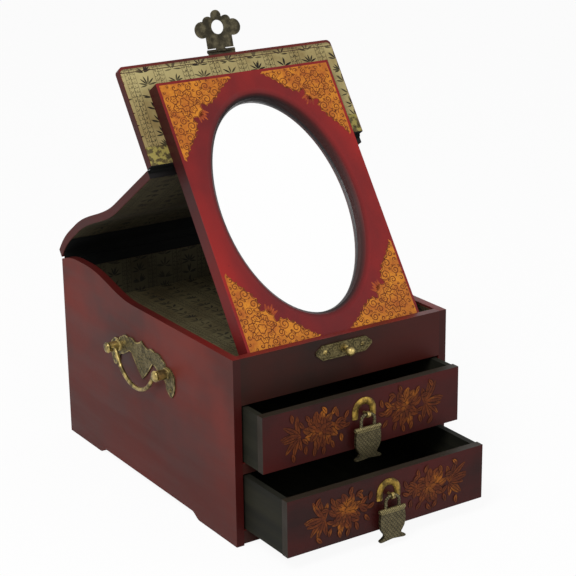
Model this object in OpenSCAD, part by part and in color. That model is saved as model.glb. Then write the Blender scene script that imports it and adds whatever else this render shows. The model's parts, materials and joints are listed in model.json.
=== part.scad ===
// Vanity box with a bi-fold lid, a leaning mirror and two drawers.
// Millimetres: X runs across the box, -Y is the front, Z is up, the feet stand on Z = 0.
// Every piece is drawn where it stands with the mirror up and both drawers pulled out.

/* [Case] */
// Width across the outside of the two sides
case_w = 200; // [160:1:260]
// Depth from the front edge of the sides to the back
case_d = 280; // [230:1:340]
// Thickness of the sides
side_t = 6.75; // [5:0.25:10]
// Height of the sides at the front
front_h = 152.8; // [140:0.2:180]
// Height of the sides at the crest of the ogee
crest_h = 166; // [150:0.5:200]
// Height of the sides at the back edge
back_h = 160.2; // [145:0.2:190]
// Distance from the back to the foot of the ogee
ogee_foot = 125; // [90:1:160]
// Distance from the back to the crest of the ogee
ogee_crest = 45; // [35:1:70]
// Distance from the back where the crest starts to fall
crest_end = 30; // [10:1:34]
// Height of the arch between the feet of a side
arch_h = 4.7; // [2:0.1:6]
// Length of a foot at each end of a side
foot_l = 56; // [30:1:80]
// Thickness of the back panel
back_t = 6; // [4:0.5:9]
// Thickness of the board above the drawers, on the front
apron_t = 7; // [5:0.5:10]
// Height of the underside of the board above the drawers
apron_z = 115.3; // [100:0.1:125]
// Thickness of the floor of the tray
tray_t = 4; // [3:0.5:6]
// Height of the bottom rail's lower edge
rail_z = 1.5; // [0.5:0.1:3]
// Height of the bottom rail's upper edge
rail_top = 12.5; // [9:0.1:15]
// Depth of the rails from front to back
rail_d = 10; // [7:0.5:16]
// Thickness of the boards that the drawers run on
board_t = 5; // [4:0.5:7]
// Height of the middle rail
mid_rail_h = 9; // [7:0.1:12]

/* [Lid] */
// Thickness of both lid leaves
lid_t = 6.85; // [5:0.05:9]
// Length of the rear leaf
rear_l = 195.5; // [150:0.5:230]
// Angle between the rear leaf and its shut position
lid_open = 34.7; // [20:0.1:50]
// Gap between the shut lid and the sides
lid_gap = 0.6; // [0.4:0.05:1.2]
// Gap between the two leaves at the fold
fold_gap = 0.2; // [0.2:0.05:1]
// Corner radius of the front leaf
lid_r = 4; // [1:0.5:10]
// Thickness of the paper linings
paper_t = 0.25; // [0.15:0.05:0.4]
// Margin between a lining and the edge of its leaf
paper_in = 0.6; // [0.2:0.1:4]
// Margin between the lining and the free edge of the front leaf
paper_tip = 2.4; // [0.6:0.1:6]

/* [Hinges] */
// Length of the butt hinges of the lid
hinge_l = 32; // [20:1:45]
// Width of one hinge leaf
hinge_w = 6; // [5:0.25:9]
// Thickness of a hinge leaf
leaf_t = 0.8; // [0.6:0.05:1.2]
// Outer radius of the knuckles
knuckle_r = 2; // [1.7:0.1:3]
// Radius of the hinge pins
pin_r = 1; // [0.7:0.05:1.2]
// Radial clearance of a pin in its bore
pin_gap = 0.05; // [0.02:0.01:0.09]
// Gap between two knuckles, and round a barrel
knuckle_gap = 0.3; // [0.2:0.05:0.5]
// Distance of the hinges from the middle of the box
hinge_x = 62; // [40:1:70]
// Distance of the rear pins behind the case
hinge_off = 1.6; // [1.2:0.1:2.4]

/* [Mirror] */
// Width of the mirror frame
mirror_w = 161; // [120:1:180]
// Height of the mirror frame
mirror_h = 226; // [170:1:235]
// Thickness of the mirror frame
mirror_t = 14; // [12:0.5:18]
// Half width of the oval at the glass
oval_a = 59.3; // [40:0.1:66]
// Half height of the oval at the glass
oval_b = 90.2; // [60:0.1:98]
// Width of the bevel round the oval
bevel_w = 7.8; // [4:0.1:10]
// Depth of the bevel round the oval
bevel_d = 7.6; // [4:0.1:8]
// Depth of the glass behind the face of the frame
glass_in = 9; // [8.2:0.1:10]
// Thickness of the glass
glass_t = 2; // [1.5:0.1:3]
// Overlap of the frame over the edge of the glass
glass_lap = 3.5; // [2:0.1:6]
// Clearance round the glass and its backing
glass_gap = 0.2; // [0.1:0.05:0.4]
// Drop of the mirror's hinge pins below the top of the front
mirror_drop = 4.8; // [3:0.1:10]
// Gap between the mirror and the lid leaf that it leans on
prop_gap = 0.4; // [0.3:0.05:1]
// Length of the mirror's hinges
foot_hinge_l = 18; // [14:1:30]
// Distance of the mirror's hinges from the middle
foot_hinge_x = 50; // [30:1:66]
// Outer radius of the mirror hinge's knuckles
foot_knuckle_r = 1.5; // [1.3:0.05:1.6]
// Radius of the mirror hinge's pins
foot_pin_r = 0.75; // [0.6:0.05:0.9]

/* [Drawers] */
// Height of a drawer front
drawer_h = 45.4; // [38:0.1:46]
// Thickness of a drawer front
drawer_front_t = 7; // [5:0.5:10]
// Thickness of the sides and back of a drawer
drawer_side_t = 5; // [4:0.5:7]
// Thickness of a drawer bottom
drawer_bottom_t = 3; // [2:0.5:5]
// Side clearance of a drawer front in the case
drawer_gap = 1.25; // [0.5:0.05:2]
// Clearance above and below a drawer front
drawer_lift = 0.6; // [0.4:0.05:0.8]
// Space behind a shut drawer
drawer_rear = 6; // [2:0.5:20]
// Distance that the upper drawer is pulled out
upper_out = 26.7; // [0:0.1:120]
// Distance that the lower drawer is pulled out
lower_out = 58.6; // [0:0.1:120]

/* [Drawer pulls] */
// Outer radius of the horseshoe plate
shoe_r = 11; // [9:0.1:13]
// Inner radius of the horseshoe plate
shoe_in = 5.6; // [4.5:0.1:7]
// Length of the straight legs of the horseshoe
shoe_leg = 5.4; // [1:0.1:8]
// Thickness of the horseshoe plate
shoe_t = 1.6; // [1:0.1:2.5]
// Height of the horseshoe's centre on the drawer front
shoe_z = 29.8; // [25:0.1:33]
// Distance of the pull's pivot in front of the drawer
pull_off = 5.2; // [4:0.1:7]
// Drop of the pull's pivot below the horseshoe's centre
pull_drop = 1.5; // [0:0.1:3]
// Thickness of the fish
fish_t = 2.6; // [1.5:0.1:3.4]
// Drop of the fish's collar below its pivot
collar_drop = 11.3; // [9:0.1:13]
// Half length of the collar
collar_l = 11.8; // [10:0.1:14]
// Radius of the collar
collar_r = 1.9; // [1.4:0.1:2.2]
// Length of the fish below its collar
fish_l = 25.2; // [20:0.1:26]
// Distance between the legs of the shackle, from middle to middle
shackle_w = 12.4; // [10:0.1:15]
// Radius of the shackle's wire
shackle_r = 1.3; // [1:0.05:1.5]
// Bend radius at the corners of the shackle
shackle_bend = 4.5; // [3:0.1:5]
// Radius of the staple's stem
stem_r = 1.2; // [0.9:0.05:1.4]
// Half width of the staple's eye
eye_w = 1.3; // [1:0.05:1.5]

/* [Catch] */
// Width of the hasp's hinge
hasp_w = 25; // [18:0.5:32]
// Overhang of the hasp's pin beyond the edge of the lid
hasp_out = 5.8; // [4:0.1:8]
// Thickness of the hasp
hasp_t = 1.2; // [0.8:0.1:2]
// Distance from the hasp's pin to the middle of its hole
hasp_reach = 19.2; // [16:0.1:24]
// Radius of the hasp's hole
hasp_hole = 5.8; // [5:0.1:6.5]
// Width of the hasp across its lobes
hasp_span = 42.4; // [36:0.1:48]
// Angle that the hasp has swung forward out of line with the lid
hasp_turn = 19; // [0:1:60]
// Length of the latch plate
latch_w = 52; // [40:1:64]
// Height of the latch plate
latch_h = 12; // [9:0.5:14]
// Thickness of the latch plate
latch_t = 1.4; // [0.8:0.1:2]
// Width of the latch plate's raised rim
latch_rim = 1.2; // [0.8:0.1:2]
// Distance of the knob's centre in front of the case
knob_out = 9; // [8:0.1:12]
// Radius of the knob's ball
knob_r = 3.8; // [3.2:0.1:4.8]

/* [Side handles] */
// Distance between the two posts of a handle
post_span = 80; // [64:1:96]
// Height of the posts above the floor
post_z = 111; // [100:0.5:125]
// Distance of the bail's axis outside the case
post_out = 7.5; // [6:0.1:10]
// Radius of a post
post_r = 4.2; // [3.4:0.1:5]
// Distance from the bail's axis to the tip of a post's head
head_out = 5.7; // [4.8:0.1:7]
// Radius of a post's head
head_r = 4.7; // [4:0.1:6]
// Radius of the bail's wire
wire_r = 1.75; // [1.1:0.05:2]
// Drop of the bail below its posts
bail_drop = 23.2; // [18:0.1:32]
// Bend radius at the ends of the bail
bail_bend = 5; // [3:0.5:8]
// Thickness of a handle's plate
plate_t = 1; // [0.6:0.1:2]
// Reach of a handle's plate beyond the middle of its posts
plate_wing = 13; // [10:0.1:18]
// Height of a handle's plate from its drop to its crest
plate_h = 32.8; // [26:0.1:38]

/* [Hidden] */
$fn = 48;
curve_n = 32;
in_w = case_w - 2 * side_t;
hinge_back = hinge_off + max(knuckle_r, lid_t * sin(lid_open) - hinge_off * cos(lid_open));
pull_front = pull_off + collar_r;
front_y = (pull_front + lower_out - case_d - hinge_back) / 2;
back_y = front_y + case_d;
mid_y = front_y + case_d / 2;
apron_in = front_y + apron_t;
tray_top = apron_z + tray_t;
lower_z = rail_top + drawer_lift + 0.2;
mid_rail_z = lower_z + drawer_h + drawer_lift;
shelf_top = mid_rail_z + mid_rail_h;
upper_z = shelf_top + drawer_lift;
drawer_w = in_w - 2 * drawer_gap;
drawer_l = case_d - back_t - drawer_rear - drawer_front_t;
front_l = case_d - rear_l;

// The rear pin and the fold line, seen from the side as [y, z], with the lid shut
rear_pin = [back_y + hinge_off, back_h + lid_gap / 2];
fold_shut = [back_y - rear_l, front_h + lid_gap + lid_t];
fold_now = turned(fold_shut, rear_pin, lid_open);

// The mirror turns on its foot until its back meets the front leaf
foot_off = 1.1;
foot_up = 0.6;
foot_pin = [apron_in + 1.6, front_h - mirror_drop];
to_fold = fold_now - foot_pin;
lean = atan2(to_fold[1], to_fold[0]) + asin((mirror_t + lid_t + prop_gap - foot_off) / norm(to_fold));
fold = 180 - lid_open - lean;
echo(front_y = front_y, rear_pin = rear_pin, fold_now = fold_now, foot_pin = foot_pin, lean = lean, fold = fold);

glass_a = oval_a + glass_lap;
glass_b = oval_b + glass_lap;
backing_t = mirror_t - glass_in - glass_t;

post_x = case_w / 2 + post_out;
bail_half = post_span / 2 - post_r - 0.8;
bail_turn = 2 * atan(bail_drop / bail_half);
bail_r = bail_half / sin(bail_turn) - bail_bend;

knob_z = fold_shut[1] + hasp_t / 2 - hasp_reach;

// Turns a point seen from the side round a centre, as the lid opens
function turned(p, c, a) = [
    c[0] + (p[0] - c[0]) * cos(a) + (p[1] - c[1]) * sin(a),
    c[1] - (p[0] - c[0]) * sin(a) + (p[1] - c[1]) * cos(a)
];

// Height of the side's top edge, flat in front and with an ogee behind
function top_z(y) = let (b = back_y - y)
    b >= ogee_foot ? front_h
    : b >= ogee_crest ? front_h + (crest_h - front_h) * (1 - cos(180 * (ogee_foot - b) / (ogee_foot - ogee_crest))) / 2
    : b >= crest_end ? crest_h
    : crest_h - (crest_h - back_h) * pow((crest_end - b) / crest_end, 2);

// Stations along the curved part, from its foot to the back
function stations() = [
    for (i = [0 : curve_n]) back_y - ogee_foot + (ogee_foot - ogee_crest) * i / curve_n,
    for (i = [0 : curve_n / 4]) back_y - crest_end * (1 - 4 * i / curve_n)
];

// The curve of the top edge, raised by a height, from a start to the back
function top_curve(start, up) = concat([[start, top_z(start) + up]], [for (y = stations()) [y, top_z(y) + up]]);

function reversed(v) = [for (i = [len(v) - 1 : -1 : 0]) v[i]];

function oval(a, b, n = 96) = [for (i = [0 : n - 1]) [a * cos(360 * i / n), b * sin(360 * i / n)]];

// An arc between two points, seen flat, that bulges to the left by h
function bulge(a, b, h, n = 6) = [
    for (i = [0 : n - 1]) let (t = i / n, d = b - a, m = norm(d))
        a + d * t + [-d[1], d[0]] / m * h * 4 * t * (1 - t)
];

// Extrudes a shape drawn as [y, z] across the box
module across(x, w) {
    translate([x, 0, 0])
        rotate([90, 0, 90])
            linear_extrude(w)
                children();
}

// Extrudes a shape drawn as [x, z] to the front, from a plane
module forward(y, t) {
    translate([0, y, 0])
        rotate([90, 0, 0])
            linear_extrude(t)
                children();
}

module box(x0, x1, y0, y1, z0, z1) {
    translate([x0, y0, z0])
        cube([x1 - x0, y1 - y0, z1 - z0]);
}

module rod(x0, x1, r) {
    translate([x0, 0, 0])
        rotate([0, 90, 0])
            cylinder(h = x1 - x0, r = r);
}

module both_sides(x) {
    for (s = [-1, 1])
        translate([s * x, 0, 0])
            children();
}

// Where the pieces of the open lid, the mirror and the hasp stand
module on_rear_leaf() {
    translate([0, rear_pin[0], rear_pin[1]])
        rotate([-lid_open, 0, 0])
            translate([0, -rear_pin[0], -rear_pin[1]])
                children();
}

module on_front_leaf() {
    on_rear_leaf()
        translate([0, fold_shut[0], fold_shut[1]])
            rotate([-fold, 0, 0])
                translate([0, -fold_shut[0], -fold_shut[1]])
                    children();
}

module on_mirror() {
    translate([0, foot_pin[0], foot_pin[1]])
        rotate([lean - 90, 0, 0])
            children();
}

// One leaf of a butt hinge round an axis along X, with its plate towards -Y
module hinge_leaf(l, w, r, pr, own, off) {
    seg = l / 3;
    difference() {
        union() {
            box(-l / 2, l / 2, -w, -r - knuckle_gap, off - leaf_t, off);
            for (i = [0 : 2])
                if ((own == "outer") == (i != 1)) {
                    x0 = -l / 2 + i * seg + (i > 0 ? knuckle_gap / 2 : 0);
                    x1 = -l / 2 + (i + 1) * seg - (i < 2 ? knuckle_gap / 2 : 0);
                    rod(x0, x1, r);
                    box(x0, x1, -r - knuckle_gap - 0.1, 0, off - leaf_t, min(off, -0.2));
                    if (off < -pr)
                        box(x0, x1, -r, 0, off - leaf_t, 0);
                }
        }
        rod(-l, l, pr + pin_gap);
    }
}

// The room that a hinge leaf and its barrel take out of the wood
module hinge_room(l, w, r, off) {
    e = 0.05;
    box(-l / 2 - e, l / 2 + e, -w - e, 0, off - leaf_t - e, off + 0.5);
    rod(-l / 2 - e, l / 2 + e, r + knuckle_gap);
}

module at_rear_pin() {
    translate([0, rear_pin[0], rear_pin[1]])
        both_sides(hinge_x)
            children();
}

module at_fold() {
    translate([0, fold_shut[0], fold_shut[1]])
        both_sides(hinge_x)
            children();
}

module at_foot_pin() {
    translate([0, foot_pin[0], foot_pin[1]])
        both_sides(foot_hinge_x)
            children();
}

// Turns a hinge leaf so that its plate hangs down behind the front
module hanging() {
    mirror([0, 1, 0])
        rotate([90, 0, 0])
            children();
}

// Case

module side(x) {
    arch = [for (i = [0 : 8]) [foot_l + 12 * i / 8, arch_h * (1 - cos(180 * i / 8)) / 2]];
    outline = concat(
        [[front_y, front_h]],
        [[front_y, 0]],
        [for (p = arch) [front_y + p[0], p[1]]],
        [for (p = reversed(arch)) [back_y - p[0], p[1]]],
        [[back_y, 0]],
        reversed([for (y = stations()) [y, top_z(y)]])
    );
    across(x, side_t)
        polygon(outline);
}

module side_left() {
    color([0.5, 0.16, 0.14])
        side(-case_w / 2);
}

module side_right() {
    color([0.5, 0.16, 0.14])
        side(case_w / 2 - side_t);
}

module back_panel() {
    color([0.4, 0.14, 0.12])
        difference() {
            box(-in_w / 2, in_w / 2, back_y - back_t, back_y, rail_z, back_h);
            at_rear_pin()
                hinge_room(hinge_l, hinge_w, knuckle_r, -lid_gap / 2);
        }
}

module apron() {
    color([0.35, 0.12, 0.1])
        difference() {
            box(-in_w / 2, in_w / 2, front_y, apron_in, apron_z, front_h);
            at_foot_pin()
                hanging()
                    hinge_room(foot_hinge_l, hinge_w, foot_knuckle_r, apron_in - foot_pin[0]);
            translate([0, front_y, knob_z])
                rotate([90, 0, 0])
                    translate([0, 0, -4])
                        cylinder(h = 5, r = 1.6);
        }
}

module bottom_rail() {
    color([0.3, 0.1, 0.09])
        box(-in_w / 2, in_w / 2, front_y, front_y + rail_d, rail_z, rail_top);
}

module middle_rail() {
    color([0.3, 0.1, 0.09])
        box(-in_w / 2, in_w / 2, front_y, front_y + rail_d, mid_rail_z, shelf_top);
}

module bottom_board() {
    color([0.28, 0.2, 0.13])
        box(-in_w / 2, in_w / 2, front_y + rail_d, back_y - back_t, rail_top - board_t, rail_top);
}

module drawer_shelf() {
    color([0.28, 0.2, 0.13])
        box(-in_w / 2, in_w / 2, front_y + rail_d, back_y - back_t, shelf_top - board_t, shelf_top);
}

module tray_floor() {
    color([0.28, 0.2, 0.13])
        box(-in_w / 2, in_w / 2, apron_in, back_y - back_t, apron_z, tray_top);
}

// Paper on the floor, the sides and the back of the tray
module tray_lining() {
    color([0.75, 0.7, 0.5])
        difference() {
            box(-in_w / 2, in_w / 2, apron_in + 2, back_y - back_t, tray_top, front_h - 2);
            box(-in_w / 2 + paper_t, in_w / 2 - paper_t, apron_in - 1, back_y - back_t - paper_t,
                tray_top + paper_t, front_h);
        }
}

// Lid

module lid_rear() {
    start = fold_shut[0] + fold_gap / 2;
    color([0.45, 0.14, 0.12])
        on_rear_leaf()
            difference() {
                across(-case_w / 2, case_w)
                    polygon(concat(top_curve(start, lid_gap), reversed(top_curve(start, lid_gap + lid_t))));
                at_rear_pin()
                    mirror([0, 0, 1])
                        hinge_room(hinge_l, hinge_w, knuckle_r, -lid_gap / 2);
                at_fold()
                    mirror([0, 1, 0])
                        hinge_room(hinge_l, hinge_w, knuckle_r, 0);
            }
}

module lid_rear_lining() {
    start = fold_shut[0] + fold_gap / 2 + paper_in;
    back = back_y - back_t - 1;
    under = [for (p = top_curve(start, lid_gap)) if (p[0] < back) p];
    color([0.75, 0.7, 0.5])
        on_rear_leaf()
            across(-case_w / 2 + paper_in, case_w - 2 * paper_in)
                polygon(concat(under, reversed([for (p = under) [p[0], p[1] - paper_t]])));
}

// A board with two round corners in front
module leaf_shape(tip, root, half, t) {
    linear_extrude(t) {
        translate([-half, tip + lid_r])
            square([2 * half, root - tip - lid_r]);
        translate([-half + lid_r, tip])
            square([2 * (half - lid_r), root - tip]);
        for (s = [-1, 1])
            translate([s * (half - lid_r), tip + lid_r])
                circle(r = lid_r);
    }
}

module lid_front() {
    root = fold_shut[0] - fold_gap / 2;
    color([0.45, 0.14, 0.12])
        on_front_leaf()
            difference() {
                translate([0, 0, fold_shut[1] - lid_t])
                    leaf_shape(front_y, root, case_w / 2, lid_t);
                at_fold()
                    hinge_room(hinge_l, hinge_w, knuckle_r, 0);
            }
}

module lid_front_lining() {
    root = fold_shut[0] - fold_gap / 2 - paper_in;
    color([0.8, 0.76, 0.55])
        on_front_leaf()
            translate([0, 0, fold_shut[1] - lid_t - paper_t])
                leaf_shape(front_y + paper_tip, root, case_w / 2 - paper_in, paper_t);
}

module rear_hinge_case_leaves() {
    color([0.6, 0.5, 0.25])
        at_rear_pin()
            hinge_leaf(hinge_l, hinge_w, knuckle_r, pin_r, "outer", -lid_gap / 2);
}

module rear_hinge_lid_leaves() {
    color([0.6, 0.5, 0.25])
        on_rear_leaf()
            at_rear_pin()
                mirror([0, 0, 1])
                    hinge_leaf(hinge_l, hinge_w, knuckle_r, pin_r, "middle", -lid_gap / 2);
}

module rear_hinge_pins() {
    color([0.7, 0.6, 0.35])
        at_rear_pin()
            rod(-hinge_l / 2, hinge_l / 2, pin_r);
}

module fold_hinge_rear_leaves() {
    color([0.6, 0.5, 0.25])
        on_rear_leaf()
            at_fold()
                mirror([0, 1, 0])
                    hinge_leaf(hinge_l, hinge_w, knuckle_r, pin_r, "outer", 0);
}

module fold_hinge_front_leaves() {
    color([0.6, 0.5, 0.25])
        on_front_leaf()
            at_fold()
                hinge_leaf(hinge_l, hinge_w, knuckle_r, pin_r, "middle", 0);
}

module fold_hinge_pins() {
    color([0.7, 0.6, 0.35])
        on_rear_leaf()
            at_fold()
                rod(-hinge_l / 2, hinge_l / 2, pin_r);
}

// Catch

module at_hasp_pin() {
    translate([0, front_y - hasp_out, fold_shut[1] + hasp_t / 2])
        children();
}

module hasp_base() {
    seg = hasp_w / 3;
    z0 = -hasp_t / 2;
    color([0.3, 0.27, 0.2])
        on_front_leaf()
            at_hasp_pin()
                difference() {
                    union() {
                        box(-hasp_w / 2, hasp_w / 2, 1.6, hasp_out + 9, z0, z0 + hasp_t);
                        for (s = [-1, 1]) {
                            x0 = s < 0 ? -hasp_w / 2 : seg / 2 + knuckle_gap;
                            rod(x0, x0 + seg - knuckle_gap, 1.5);
                            box(x0, x0 + seg - knuckle_gap, 0, 1.7, z0, z0 + hasp_t);
                        }
                    }
                    rod(-hasp_w, hasp_w, 0.8 + pin_gap);
                }
}

module hasp_pin() {
    color([0.35, 0.3, 0.22])
        on_front_leaf()
            at_hasp_pin()
                rod(-hasp_w / 2, hasp_w / 2, 0.8);
}

// The lobed plate that drops over the knob
module hasp_plate() {
    seg = hasp_w / 3;
    lobe = hasp_span * 0.158;
    shoulder = hasp_span * 0.108;
    neck = hasp_w / 2 - 0.5;
    color([0.25, 0.22, 0.17])
        on_front_leaf()
            at_hasp_pin()
                rotate([hasp_turn, 0, 0])
                    difference() {
                        union() {
                            rod(-seg / 2, seg / 2, 1.5);
                            box(-seg / 2, seg / 2, -3, 0, -hasp_t / 2, hasp_t / 2);
                            translate([0, 0, -hasp_t / 2])
                                linear_extrude(hasp_t) {
                                    translate([-neck, -hasp_reach])
                                        square([2 * neck, hasp_reach - 2.2]);
                                    translate([0, -hasp_reach]) {
                                        circle(r = hasp_hole + shoulder * 0.8);
                                        for (s = [-1, 1]) {
                                            translate([s * (hasp_span / 2 - lobe), lobe * 0.18])
                                                circle(r = lobe);
                                            translate([s * hasp_span * 0.196, -shoulder])
                                                circle(r = shoulder);
                                        }
                                        translate([0, -hasp_hole - shoulder * 0.75])
                                            circle(r = shoulder);
                                    }
                                }
                        }
                        rod(-hasp_w, hasp_w, 0.8 + pin_gap);
                        translate([0, -hasp_reach, -2])
                            cylinder(h = 4, r = hasp_hole);
                    }
}

function latch_outline(a, h) = [[-a, -h / 5], [-a, h / 5], [-a + h, h], [a - h, h],
    [a, h / 5], [a, -h / 5], [a - h, -h], [-a + h, -h]];

// A plate with a raised rim round a sunk field
module latch_plate() {
    a = latch_w / 2;
    h = latch_h / 2;
    color([0.35, 0.32, 0.22])
        difference() {
            forward(front_y, latch_t)
                translate([0, knob_z])
                    polygon(latch_outline(a, h));
            forward(front_y - latch_t * 0.6, latch_t)
                translate([0, knob_z])
                    polygon(latch_outline(a - latch_rim * 1.3, h - latch_rim));
            forward(front_y + 1, latch_t + 2)
                translate([0, knob_z])
                    circle(r = 1.6);
        }
}

module latch_knob() {
    color([0.6, 0.52, 0.32])
        translate([0, front_y, knob_z])
            rotate([90, 0, 0]) {
                translate([0, 0, -3.9])
                    cylinder(h = knob_out + 3.9, r = 1.5);
                translate([0, 0, latch_t * 0.6])
                    cylinder(h = 1.6, r = 3);
                translate([0, 0, knob_out])
                    sphere(r = knob_r);
            }
}

// Mirror, drawn upright with its hinge pin on the X axis

// A solid of ovals one above the other: rings is a list of how much wider and how high
module stack(rings, n = 96) {
    k = len(rings);
    polyhedron(
        [for (r = rings) for (p = oval(oval_a + r[0], oval_b + r[0])) [p[0], p[1], r[1]]],
        concat(
            [[for (i = [0 : n - 1]) i]],
            [[for (i = [n - 1 : -1 : 0]) (k - 1) * n + i]],
            [for (j = [0 : k - 2]) for (i = [0 : n - 1]) let (g = (i + 1) % n)
                each [[j * n + i, (j + 1) * n + i, j * n + g], [j * n + g, (j + 1) * n + i, (j + 1) * n + g]]]));
}

module mirror_frame() {
    zc = foot_up + mirror_h / 2;
    n = 3;
    color([0.5, 0.17, 0.18])
        on_mirror()
            difference() {
                box(-mirror_w / 2, mirror_w / 2, -foot_off, mirror_t - foot_off, foot_up, foot_up + mirror_h);
                translate([0, -foot_off, zc])
                    rotate([-90, 0, 0]) {
                        stack([[bevel_w, -1],
                            for (i = [0 : n]) [bevel_w * (1 - sin(90 * i / n)), bevel_d * (1 - cos(90 * i / n))],
                            [0, mirror_t + 1]]);
                        translate([0, 0, glass_in])
                            linear_extrude(mirror_t)
                                polygon(oval(glass_a, glass_b));
                    }
                both_sides(foot_hinge_x)
                    mirror([0, 1, 0])
                        mirror([0, 0, 1])
                            hinge_room(foot_hinge_l, hinge_w + 2, foot_knuckle_r, -foot_up);
            }
}

module mirror_glass() {
    color([0.75, 0.82, 0.85])
        on_mirror()
            translate([0, glass_in - foot_off, foot_up + mirror_h / 2])
                rotate([-90, 0, 0])
                    linear_extrude(glass_t)
                        polygon(oval(glass_a - glass_gap, glass_b - glass_gap));
}

module mirror_backing() {
    color([0.35, 0.24, 0.15])
        on_mirror()
            translate([0, glass_in + glass_t - foot_off, foot_up + mirror_h / 2])
                rotate([-90, 0, 0])
                    linear_extrude(backing_t)
                        polygon(oval(glass_a - glass_gap, glass_b - glass_gap));
}

module foot_hinge_case_leaves() {
    color([0.6, 0.5, 0.25])
        at_foot_pin()
            hanging()
                hinge_leaf(foot_hinge_l, hinge_w, foot_knuckle_r, foot_pin_r, "outer", apron_in - foot_pin[0]);
}

module foot_hinge_mirror_leaves() {
    color([0.6, 0.5, 0.25])
        on_mirror()
            both_sides(foot_hinge_x)
                mirror([0, 1, 0])
                    mirror([0, 0, 1])
                        hinge_leaf(foot_hinge_l, hinge_w + 2, foot_knuckle_r, foot_pin_r, "middle", -foot_up);
}

module foot_hinge_pins() {
    color([0.7, 0.6, 0.35])
        at_foot_pin()
            rod(-foot_hinge_l / 2, foot_hinge_l / 2, foot_pin_r);
}

// Drawers

module drawer_front(z, out) {
    color([0.42, 0.2, 0.1])
        difference() {
            box(-drawer_w / 2, drawer_w / 2, front_y - out, front_y - out + drawer_front_t, z, z + drawer_h);
            translate([0, front_y - out - 1, z + shoe_z - pull_drop])
                rotate([-90, 0, 0])
                    cylinder(h = 5, r = stem_r + 0.1);
        }
}

module drawer_side(z, out, s) {
    y0 = front_y - out + drawer_front_t;
    x0 = s < 0 ? -drawer_w / 2 + 0.5 : drawer_w / 2 - 0.5 - drawer_side_t;
    color([0.25, 0.24, 0.17])
        difference() {
            box(x0, x0 + drawer_side_t, y0, y0 + drawer_l, z, z + drawer_h - 0.8);
            drawer_groove(z, out);
        }
}

module drawer_back(z, out) {
    y1 = front_y - out + drawer_front_t + drawer_l;
    x = drawer_w / 2 - 0.5 - drawer_side_t;
    color([0.25, 0.24, 0.17])
        difference() {
            box(-x, x, y1 - drawer_side_t, y1, z, z + drawer_h - 0.8);
            drawer_groove(z, out);
        }
}

// The groove that holds the bottom, and the bottom in it
module drawer_groove(z, out, e = 0) {
    y0 = front_y - out + drawer_front_t;
    x = drawer_w / 2 - 0.5 - drawer_side_t / 2 - e;
    box(-x, x, y0 + e, y0 + drawer_l - drawer_side_t / 2 - e, z + 2 + e, z + 2 + drawer_bottom_t - e);
}

module drawer_bottom(z, out) {
    color([0.2, 0.18, 0.12])
        drawer_groove(z, out, 0.1);
}

module upper_front() {
    drawer_front(upper_z, upper_out);
}

module upper_side_left() {
    drawer_side(upper_z, upper_out, -1);
}

module upper_side_right() {
    drawer_side(upper_z, upper_out, 1);
}

module upper_back() {
    drawer_back(upper_z, upper_out);
}

module upper_bottom() {
    drawer_bottom(upper_z, upper_out);
}

module lower_front() {
    drawer_front(lower_z, lower_out);
}

module lower_side_left() {
    drawer_side(lower_z, lower_out, -1);
}

module lower_side_right() {
    drawer_side(lower_z, lower_out, 1);
}

module lower_back() {
    drawer_back(lower_z, lower_out);
}

module lower_bottom() {
    drawer_bottom(lower_z, lower_out);
}

// Drawer pulls

module domed_strip() {
    w = shoe_r - shoe_in;
    polygon([for (i = [0 : 10]) [shoe_in + w * i / 10, shoe_t * (0.35 + 0.65 * sin(18 * i))],
        [shoe_r, 0], [shoe_in, 0]]);
}

module shoe(z, out) {
    color([0.6, 0.48, 0.2])
        translate([0, front_y - out, z + shoe_z])
            rotate([90, 0, 0]) {
                rotate_extrude(angle = 180)
                    domed_strip();
                rotate([90, 0, 0])
                    linear_extrude(shoe_leg)
                        domed_strip();
                mirror([1, 0, 0])
                    rotate([90, 0, 0])
                        linear_extrude(shoe_leg)
                            domed_strip();
            }
}

// An eye on a stem, which carries the shackle
module staple(z, out) {
    eye_r = shackle_r + pin_gap;
    color([0.4, 0.35, 0.22])
        translate([0, front_y - out, z + shoe_z - pull_drop])
            difference() {
                union() {
                    translate([0, 3.9, 0])
                        rotate([90, 0, 0])
                            cylinder(h = 3.9 + pull_off - eye_r - 0.2, r = stem_r, $fn = 24);
                    translate([0, -pull_off, 0])
                        rod(-eye_w, eye_w, eye_r + 1.2);
                }
                translate([0, -pull_off, 0])
                    rod(-eye_w - 1, eye_w + 1, eye_r);
            }
}

// The outline of half the fish, as shares of the collar's and of its own length
fish_side = [[0.91, 0.04], [0.97, 0.16], [1, 0.32], [0.99, 0.47], [0.92, 0.6], [0.79, 0.7], [0.68, 0.77],
    [0.67, 0.82], [0.81, 0.88], [1.03, 0.94], [1.02, 0.99], [0.85, 1], [0.4, 0.975], [0, 0.955]];

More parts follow.
